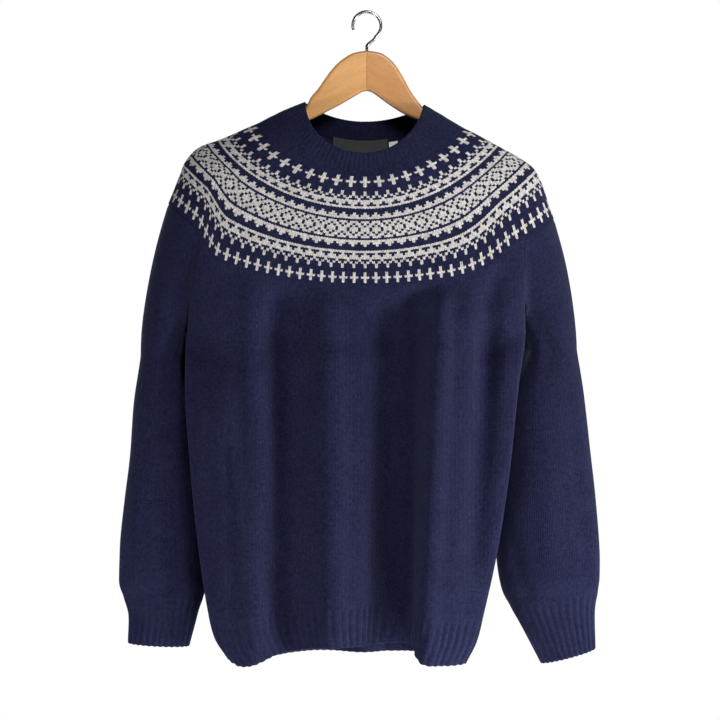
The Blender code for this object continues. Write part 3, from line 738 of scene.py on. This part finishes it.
def seam_dip(distance):
    return -SEAM_DIP * np.exp(-((distance / SEAM_HALF) ** 2))


def make_body(face):
    """The front or the back and its hem, from one grid of points."""
    sign = 1 if face == "front" else -1

    def reference(share):
        return panel_point(face, REFERENCE_ROW, face_angle(face, share))

    shares, length, total = even_columns(reference, False, HEM_RIBS * RIB_COLUMNS + 1, SEAM_COLUMNS)
    body_rows = np.linspace(0, LAST_SIDE_ROW, BODY_ROWS)
    hem_rows = np.linspace(LAST_SIDE_ROW, LAST_HEM_ROW, HEM_ROWS)
    rows = np.concatenate([body_rows, hem_rows[1:]])[:, None]
    points = panel_point(face, rows, face_angle(face, shares)[None, :])
    across = np.abs(2 * shares - 1)[None, :]
    creases = FRONT_CREASES if face == "front" else BACK_CREASES
    lift = folds(creases, points[..., 0], points[..., 2]) + waves(points)
    lift *= (1 - across**6) * smooth(rows / CREASE_FADE_ROWS)
    points = points + normals(points, False, sign) * lift[..., None]
    out = normals(points, False, sign)
    seam = seam_dip(np.minimum(length, total - length))[None, :]
    ribs = rib_relief(length / total, HEM_RIBS, RIB_DEPTH)[None, :]
    ribs = ribs * smooth((rows - LAST_SIDE_ROW + RIB_START) / RIB_ROWS)
    outer = points + out * (seam + ribs)[..., None]
    stitch = [
        np.broadcast_to(points[..., 0] / WALE, points.shape[:2]),
        -points[..., 2] / COURSE,
    ]
    pieces = []
    for name, start, end, wall, rounded in (
        (face + "_knit", 0, BODY_ROWS, CLOTH, ""),
        ("hem_" + face + "_rib", BODY_ROWS - 1, len(rows), RIB, "low"),
    ):
        inner = points[start:end] - out[start:end] * wall
        pieces.append(shell(
            name, outer[start:end], inner, False, sign, rounded, [m[start:end] for m in stitch]
        ))
    return pieces


def make_sleeve(side, name):
    """A sleeve and its cuff, from one grid of points."""
    def reference(share):
        return sleeve_point(side, CUFF_TOP + 1, share * SLEEVE_COLUMNS)

    shares, length, total = even_columns(reference, True, CUFF_RIBS * RIB_COLUMNS)
    arm_rows = np.linspace(0, 1, SLEEVE_ROWS) ** SLEEVE_ROW_POWER * CUFF_TOP
    rows = np.concatenate([arm_rows, np.linspace(CUFF_TOP, CUFF_LOW, CUFF_ROWS)[1:]])[:, None]
    columns = shares[None, :] * SLEEVE_COLUMNS
    points = sleeve_point(side, rows, columns)
    lift = waves(points)
    for i in range(len(SLEEVE_CREASES["side"])):
        crease = {key: column[i] for key, column in SLEEVE_CREASES.items()}
        if crease["side"] == side:
            down = (rows - crease["top_row"]) / (crease["low_row"] - crease["top_row"])
            middle = mix(crease["top_column"], crease["low_column"], down)
            fade = smooth(down / CREASE_FADE) * smooth((1 - down) / CREASE_FADE)
            spread = ((columns - middle) / crease["half"]) ** 2
            lift = lift + crease["rise"] * fade * np.exp(-spread * FOLD_SHARPNESS)
    lift = lift * smooth(rows / 1.5)
    points = points + normals(points, True, side) * lift[..., None]
    out = normals(points, True, side)
    ribs = rib_relief(length / total, CUFF_RIBS, RIB_DEPTH)[None, :]
    ribs = ribs * smooth((rows - CUFF_TOP + RIB_START) / RIB_ROWS)
    down = np.cumsum(np.linalg.norm(np.diff(points, axis=0, prepend=points[:1]), axis=-1), axis=0)
    outer = points + out * (seam_dip(down) + ribs)[..., None]
    stitch = [
        np.broadcast_to(length / total * round(total / WALE), points.shape[:2]),
        np.broadcast_to(down.mean(1)[:, None] / COURSE, points.shape[:2]),
    ]
    pieces = []
    for part, start, end, wall, rounded in (
        ("sleeve", 0, SLEEVE_ROWS, CLOTH, ""),
        ("cuff", SLEEVE_ROWS - 1, len(rows), RIB, "low"),
    ):
        keep = np.unique(np.linspace(start, end - 1, INNER_ROWS).astype(int))
        inner = points[keep] - out[keep] * wall
        pieces.append(shell(
            part + "_" + name + "_knit", outer[start:end], inner, True, side, rounded,
            [m[start:end] for m in stitch],
        ))
    return pieces


def back_neck_patch(middle, width, top, bottom, inside, rows, columns):
    """An upright patch of the back neck, moved towards the inside."""
    s = np.linspace(top, bottom, rows)[:, None]
    x = np.linspace(middle - width / 2, middle + width / 2, columns)[None, :] - RING_CENTRE_X
    right, left = read(RINGS, "right_x", s) - RING_CENTRE_X, RING_CENTRE_X - read(RINGS, "left_x", s)
    points = ring_point(s, math.pi - np.arcsin(x / np.where(x > 0, right, left)))
    return points + unit(np.cross(np.gradient(points, axis=0), np.gradient(points, axis=1))) * inside


def make_label(name, middle, width, top, bottom):
    near, far = (
        back_neck_patch(middle, width, top, bottom, LABEL_INSIDE + lift, LABEL_ROWS, LABEL_COLUMNS)
        for lift in (0, LABEL_THICK)
    )
    stitch = np.broadcast_arrays(
        np.linspace(0, width, LABEL_COLUMNS)[None, :], np.linspace(0, bottom - top, LABEL_ROWS)[:, None]
    )
    return shell(name, far, near, False, 1, "", stitch)


def ridge_z(x):
    """The height of the cloth's ridge over the hanger's arm."""
    side = "left" if x < 0 else "right"
    reach, height = RINGS[side + "_x"], RINGS[side + "_z"]
    order = np.argsort(reach)
    return float(curve(reach[order], height[order], x))


def hanger_outline(side):
    """Half of the hanger, from the centre line over the dome, out along the arm and back."""
    column = "left_x" if side < 0 else "right_x"
    reach = ARM_END_LEFT if side < 0 else ARM_END_RIGHT
    line = side * JOINT_GAP / 2
    dome = list(zip(DOME[column], DOME["z"]))
    tops = []
    for x in np.linspace(side * ARM_START, reach - side * TIP_LENGTH, ARM_POINTS):
        share = smooth((abs(x) - NECK_HALF) / NECK_HALF * 2)
        slope = ridge_z(x + 1) - ridge_z(x)
        under_yoke = (CLOTH + ARM_CLEARANCE) * math.sqrt(1 + slope**2)
        tops.append((x, ridge_z(x) - mix(ARM_UNDER_NECK, under_yoke, share)))
    end_x, end_z = tops[-1]
    middle = end_z - ARM_HEIGHT * TIP_HIGH
    tip = [(reach, middle), (reach, middle - TIP_FLAT), (end_x, end_z - ARM_HEIGHT * TIP_LOW)]
    under = list(zip(UNDERSIDE[column], UNDERSIDE["z"]))
    return [(line, DOME_TOP)] + dome + tops + tip + under + [(line, NOTCH_TOP)]


def rounded_outline(corners):
    """An outline with its corners cut again and again, which leaves its two ends in place."""
    line = np.array(corners)
    for _ in range(OUTLINE_CUTS):
        near, far = mix(line[:-1], line[1:], 0.25), mix(line[:-1], line[1:], 0.75)
        line = np.concatenate([line[:1], np.stack([near, far], 1).reshape(-1, 2)[1:-1], line[-1:]])
    return line


def make_hanger(side, name):
    """Half of the hanger: its outline drawn in and lofted through its thickness."""
    line = rounded_outline(hanger_outline(side))
    tangent = np.gradient(line, axis=0)
    tangent[0], tangent[-1] = (side, 0), (-side, 0)
    tangent /= np.linalg.norm(tangent, axis=1)[:, None]
    inward = np.stack([tangent[:, 1], -tangent[:, 0]], 1) * side
    turn = np.linspace(0, math.pi / 2, EDGE_STEPS)
    half = WOOD_THICK / 2
    profile = [(WOOD_FACE, -half)]
    profile += [(WOOD_EDGE * (1 - math.sin(a)), -half + WOOD_EDGE * (1 - math.cos(a))) for a in turn]
    profile += [(inset, -y) for inset, y in profile[::-1]]
    shape = bmesh.new()
    rings = []
    for inset, y in profile:
        flat = line + inward * inset
        groove = JOINT_GROOVE if abs(y) == half else 0
        flat[0, 0] = flat[-1, 0] = side * (JOINT_LINE + groove)
        rings.append([shape.verts.new((x * MM, y * MM, z * MM)) for x, z in flat])
    for near, far in zip(rings, rings[1:]):
        for i in range(len(near) - 1):
            shape.faces.new((near[i], near[i + 1], far[i + 1], far[i]))
    shape.faces.new(rings[0])
    shape.faces.new(rings[-1])
    shape.faces.new([ring[0] for ring in rings] + [ring[-1] for ring in rings[::-1]])
    bmesh.ops.recalc_face_normals(shape, faces=shape.faces)
    mesh = bpy.data.meshes.new(name)
    shape.to_mesh(mesh)
    shape.free()
    mesh.shade_smooth()
    mesh.set_sharp_from_angle(angle=math.radians(50))
    piece = bpy.data.objects.new(name, mesh)
    bpy.context.scene.collection.objects.link(piece)
    return piece


def make_hook():
    """The wire, from its tip over the rail, round and down into the wood."""
    radius, centre_z = HOOK_RADIUS + WIRE, -HOOK_RADIUS
    turns = np.radians(np.linspace(HOOK_TIP_ANGLE, HOOK_NECK_ANGLE, HOOK_POINTS))
    route = [(radius * math.cos(a), centre_z + radius * math.sin(a)) for a in turns]
    last_x, last_z = route[-1]
    for t in np.linspace(0.1, 1, 10):
        route.append((mix(last_x, 0, smooth(t)), last_z - SHANK_BEND * t))
    route.append((0, DOME_TOP + SEAM_GAP))
    data = bpy.data.curves.new("hook_wire", "CURVE")
    data.dimensions = "3D"
    data.bevel_depth = WIRE * MM
    data.bevel_resolution = 6
    data.use_fill_caps = True
    spline = data.splines.new("POLY")
    spline.points.add(len(route) - 1)
    for point, (x, z) in zip(spline.points, route):
        point.co = (x * MM, 0, z * MM, 1)
    spline.use_smooth = True
    piece = bpy.data.objects.new("hook_wire", data)
    bpy.context.scene.collection.objects.link(piece)
    return piece


def add_node(tree, kind, sockets=(), **settings):
    """A shader node. sockets gives each input's value or the output that feeds it."""
    node = tree.nodes.new("ShaderNode" + kind)
    for key, value in settings.items():
        setattr(node, key, value)
    for key, value in dict(sockets).items():
        if isinstance(value, bpy.types.NodeSocket):
            tree.links.new(value, node.inputs[key])
        else:
            node.inputs[key].default_value = value
    return node


def new_material(name, roughness, **sockets):
    new = bpy.data.materials.new(name)
    new.use_nodes = True
    shader = new.node_tree.nodes["Principled BSDF"]
    shader.inputs["Roughness"].default_value = roughness
    for key, value in sockets.items():
        shader.inputs[key.replace("_", " ")].default_value = value
    return new, new.node_tree, shader


def maths(tree, operation, *values):
    node = add_node(tree, "Math", dict(enumerate(values)), operation=operation)
    return node.outputs[0]


def noise(tree, place, scale, detail=2.0, stretch=None):
    if stretch is not None:
        place = add_node(tree, "Mapping", {"Vector": place, "Scale": stretch}).outputs[0]
    sockets = {"Vector": place, "Scale": scale, "Detail": detail}
    return add_node(tree, "TexNoise", sockets).outputs["Fac"]


def blend(tree, share, low, high):
    node = add_node(tree, "Mix", {0: share, 6: low, 7: high}, data_type="RGBA")
    return node.outputs[2]


def spread(tree, value, low, high):
    """A value between low and high as 0 to 1."""
    return add_node(tree, "MapRange", {0: value, 1: low, 2: high}).outputs[0]


def stitch_height(tree):
    """The legs of plain knitting: each stitch is a V, in the stitch map's numbers."""
    place = add_node(tree, "UVMap", uv_map="stitch").outputs[0]
    split = add_node(tree, "SeparateXYZ", {0: place})
    across, down = split.outputs[0], split.outputs[1]
    inside = maths(tree, "FRACT", across)
    from_middle = maths(tree, "ABSOLUTE", maths(tree, "SUBTRACT", inside, 0.5))
    leg = maths(tree, "ABSOLUTE", maths(tree, "SINE", maths(tree, "MULTIPLY", across, 2 * math.pi)))
    slanted = maths(tree, "ADD", down, from_middle)
    row = maths(tree, "ABSOLUTE", maths(tree, "SINE", maths(tree, "MULTIPLY", slanted, math.pi)))
    return maths(tree, "MULTIPLY", leg, maths(tree, "MULTIPLY_ADD", row, 0.6, 0.4))


def wool(name, dark, light, white=None, stitches=0.0):
    """Brushed wool: mottled yarn and fine light fibres. stitches is the bump of plain knitting,
    and white the second yarn, where the yoke's faces are marked white_yarn."""
    new, tree, shader = new_material(
        name, 0.95, Sheen_Weight=0.06, Sheen_Roughness=0.5, Sheen_Tint=(0.62, 0.70, 0.86, 1),
        Specular_IOR_Level=0.05,
    )
    place = add_node(tree, "TexCoord").outputs["Object"]
    cloud = noise(tree, place, 38, 3)
    yarn = noise(tree, place, 260, 3)
    fine = noise(tree, place, 640, 2)
    fibre = noise(tree, place, 900, 2, (1.0, 1.0, 0.45))
    grain = maths(tree, "MULTIPLY_ADD", yarn, 0.4, maths(tree, "MULTIPLY", fine, 0.45))
    share = maths(tree, "MULTIPLY_ADD", cloud, 0.15, grain)
    colour = blend(tree, spread(tree, share, 0.38, 0.62), dark, light)
    if white is not None:
        marked = add_node(tree, "Attribute", attribute_name="white_yarn").outputs["Fac"]
        shadow = [c * YARN_SHADOW for c in white[:3]] + [1]
        pale = blend(tree, spread(tree, fine, 0.3, 0.7), shadow, white)
        colour = blend(tree, marked, colour, pale)
    specks = maths(tree, "MULTIPLY", spread(tree, fibre, 0.62, 0.8), 0.35)
    colour = blend(tree, specks, colour, FIBRE_COLOUR)
    tree.links.new(colour, shader.inputs["Base Color"])
    height = maths(tree, "MULTIPLY_ADD", fibre, 0.5, maths(tree, "MULTIPLY", yarn, 0.6))
    if stitches:
        height = maths(tree, "MULTIPLY_ADD", stitch_height(tree), stitches, height)
    bump = add_node(tree, "Bump", {"Height": height, "Strength": 0.7, "Distance": 0.0007})
    tree.links.new(bump.outputs[0], shader.inputs["Normal"])
    return new


def tape(name, colour, thread):
    """A woven tape: fine weft ribs with a slight sheen."""
    new, tree, shader = new_material(name, 0.6, Sheen_Weight=0.15, Sheen_Roughness=0.3)
    place = add_node(tree, "UVMap", uv_map="stitch").outputs[0]
    split = add_node(tree, "SeparateXYZ", {0: place})
    weft = maths(tree, "SINE", maths(tree, "MULTIPLY", split.outputs[1], 2 * math.pi / thread))
    warp = maths(tree, "SINE", maths(tree, "MULTIPLY", split.outputs[0], 2 * math.pi / thread))
    weave = maths(tree, "MULTIPLY", weft, warp)
    worn = noise(tree, add_node(tree, "TexCoord").outputs["Object"], 300)
    share = maths(tree, "MULTIPLY_ADD", weave, 0.2, worn)
    pale = [min(1, c * 1.5 + 0.01) for c in colour[:3]] + [1]
    tree.links.new(blend(tree, share, colour, pale), shader.inputs["Base Color"])
    bump = add_node(tree, "Bump", {"Height": weave, "Strength": 0.5, "Distance": 0.0002})
    tree.links.new(bump.outputs[0], shader.inputs["Normal"])
    return new


def beech(name, dark, light, lean):
    """Lacquered beech whose grain runs along an arm that leans by an angle."""
    new, tree, shader = new_material(name, 0.42, Coat_Weight=0.12, Coat_Roughness=0.35)
    place = add_node(tree, "TexCoord").outputs["Object"]
    along = add_node(tree, "Mapping", {"Vector": place, "Rotation": (0, lean, 0)}).outputs[0]
    bands = noise(tree, along, 60, 3, (0.12, 1.0, 1.0))
    pores = noise(tree, along, 420, 2, (0.10, 1.0, 1.0))
    flecks = noise(tree, along, 900, 1, (0.25, 1.0, 1.0))
    share = maths(tree, "MULTIPLY_ADD", bands, 0.6, maths(tree, "MULTIPLY", pores, 0.4))
    colour = blend(tree, spread(tree, share, 0.34, 0.66), dark, light)
    marks = maths(tree, "MULTIPLY", spread(tree, flecks, 0.62, 0.75), 0.4)
    colour = blend(tree, marks, colour, [c * FLECK_SHADOW for c in dark[:3]] + [1])
    tree.links.new(colour, shader.inputs["Base Color"])
    worn = noise(tree, place, 45, 2)
    tree.links.new(spread_to(tree, worn, 0.32, 0.46), shader.inputs["Roughness"])
    bump = add_node(tree, "Bump", {"Height": pores, "Strength": 0.25, "Distance": 0.0002})
    tree.links.new(bump.outputs[0], shader.inputs["Normal"])
    return new


def spread_to(tree, value, low, high):
    """A noise value as a number between low and high."""
    return add_node(tree, "MapRange", {0: value, 1: 0.3, 2: 0.7, 3: low, 4: high}).outputs[0]


def wire(name):
    new, tree, shader = new_material(name, 0.25, Metallic=1.0)
    place = add_node(tree, "TexCoord").outputs["Object"]
    smear = noise(tree, place, 220, 3, (1.0, 1.0, 0.3))
    tree.links.new(blend(tree, smear, STEEL_DARK, STEEL_LIGHT), shader.inputs["Base Color"])
    tree.links.new(spread_to(tree, smear, 0.18, 0.36), shader.inputs["Roughness"])
    return new


def area_light(name, place, aim, size, power):
    data = bpy.data.lights.new(name, "AREA")
    data.shape, data.size, data.energy = "SQUARE", size, power
    lamp = bpy.data.objects.new(name, data)
    lamp.location = place
    lamp.rotation_euler = (Vector(aim) - Vector(place)).to_track_quat("-Z", "Y").to_euler()
    lamp.visible_camera = False
    bpy.context.scene.collection.objects.link(lamp)


def make_studio():
    """Camera, white surroundings, a pale floor well below the jumper and soft light."""
    data = bpy.data.cameras.new("camera")
    data.sensor_width = SENSOR
    data.lens = SENSOR * -EYE[1] / PICTURE_WIDTH
    camera = bpy.data.objects.new("camera", data)
    camera.location = Vector(EYE) * MM
    camera.rotation_euler = (math.pi / 2, 0, 0)
    bpy.context.scene.collection.objects.link(camera)
    bpy.context.scene.camera = camera
    bpy.context.scene.view_settings.view_transform = "Standard"

    world = bpy.data.worlds.new("surroundings")
    bpy.context.scene.world = world
    world.use_nodes = True
    tree = world.node_tree
    ground = tree.nodes["Background"]
    seen = add_node(tree, "LightPath").outputs["Is Camera Ray"]
    ground.inputs["Color"].default_value = (1, 1, 1, 1)
    tree.links.new(maths(tree, "MULTIPLY_ADD", seen, 1 - AMBIENT, AMBIENT), ground.inputs["Strength"])

    mesh = bpy.data.meshes.new("floor")
    turn = np.linspace(0, 2 * math.pi, 96, endpoint=False)
    ring = [(FLOOR_RADIUS * math.cos(a), FLOOR_RADIUS * math.sin(a), FLOOR_Z) for a in turn]
    mesh.from_pydata(ring, [], [list(range(len(ring)))])
    floor = bpy.data.objects.new("floor", mesh)
    bpy.context.scene.collection.objects.link(floor)
    new, tree, shader = new_material("pale_floor", 0.8)
    grain = noise(tree, add_node(tree, "TexCoord").outputs["Object"], 3)
    tree.links.new(blend(tree, grain, FLOOR_DARK, FLOOR_LIGHT), shader.inputs["Base Color"])
    mesh.materials.append(new)

    middle = tuple((cad_box[0] + cad_box[1]) / 2)
    for name, place, size, power in LIGHTS:
        area_light(name, place, middle, size, power)


def finish_piece(piece, node, new):
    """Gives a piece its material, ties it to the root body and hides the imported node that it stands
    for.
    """
    piece.data.materials.append(new)
    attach(piece, "root")
    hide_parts(node)


make_studio()

navy = wool("navy_wool", NAVY_DARK, NAVY_LIGHT, stitches=0.9)
patterned = wool("patterned_wool", NAVY_DARK, NAVY_LIGHT, white=YARN_WHITE)
ribbed = wool("ribbed_wool", NAVY_DARK, NAVY_LIGHT, stitches=0.6)

finish_piece(make_yoke(), "yoke", patterned)
finish_piece(make_neckband(), "neckband", ribbed)
for face in ("front", "back"):
    body, hem = make_body(face)
    finish_piece(body, face, navy)
    finish_piece(hem, "hem_" + face, ribbed)
for side, name in ((-1, "right"), (1, "left")):
    sleeve, cuff = make_sleeve(side, name)
    finish_piece(sleeve, "sleeve_" + name, navy)
    finish_piece(cuff, "cuff_" + name, ribbed)
label = make_label("neck_label", LABEL_MIDDLE, LABEL_WIDTH, LABEL_TOP, LABEL_BOTTOM)
finish_piece(label, "label", tape("label_tape", CHARCOAL, 0.5))
tab = make_label("neck_tab", TAB_MIDDLE, TAB_WIDTH, TAB_TOP, TAB_TOP + TAB_HEIGHT)
finish_piece(tab, "size_tab", tape("tab_tape", TAB_WHITE, 0.5))
pale = beech("beech_pale", (0.475, 0.238, 0.080, 1), (0.57, 0.302, 0.112, 1), ARM_LEAN)
deep = beech("beech", (0.40, 0.178, 0.056, 1), (0.475, 0.233, 0.080, 1), -ARM_LEAN)
finish_piece(make_hanger(-1, "hanger_arm_right"), "hanger_right", pale)
finish_piece(make_hanger(1, "hanger_arm_left"), "hanger_left", deep)
finish_piece(make_hook(), "hook", wire("steel_wire"))
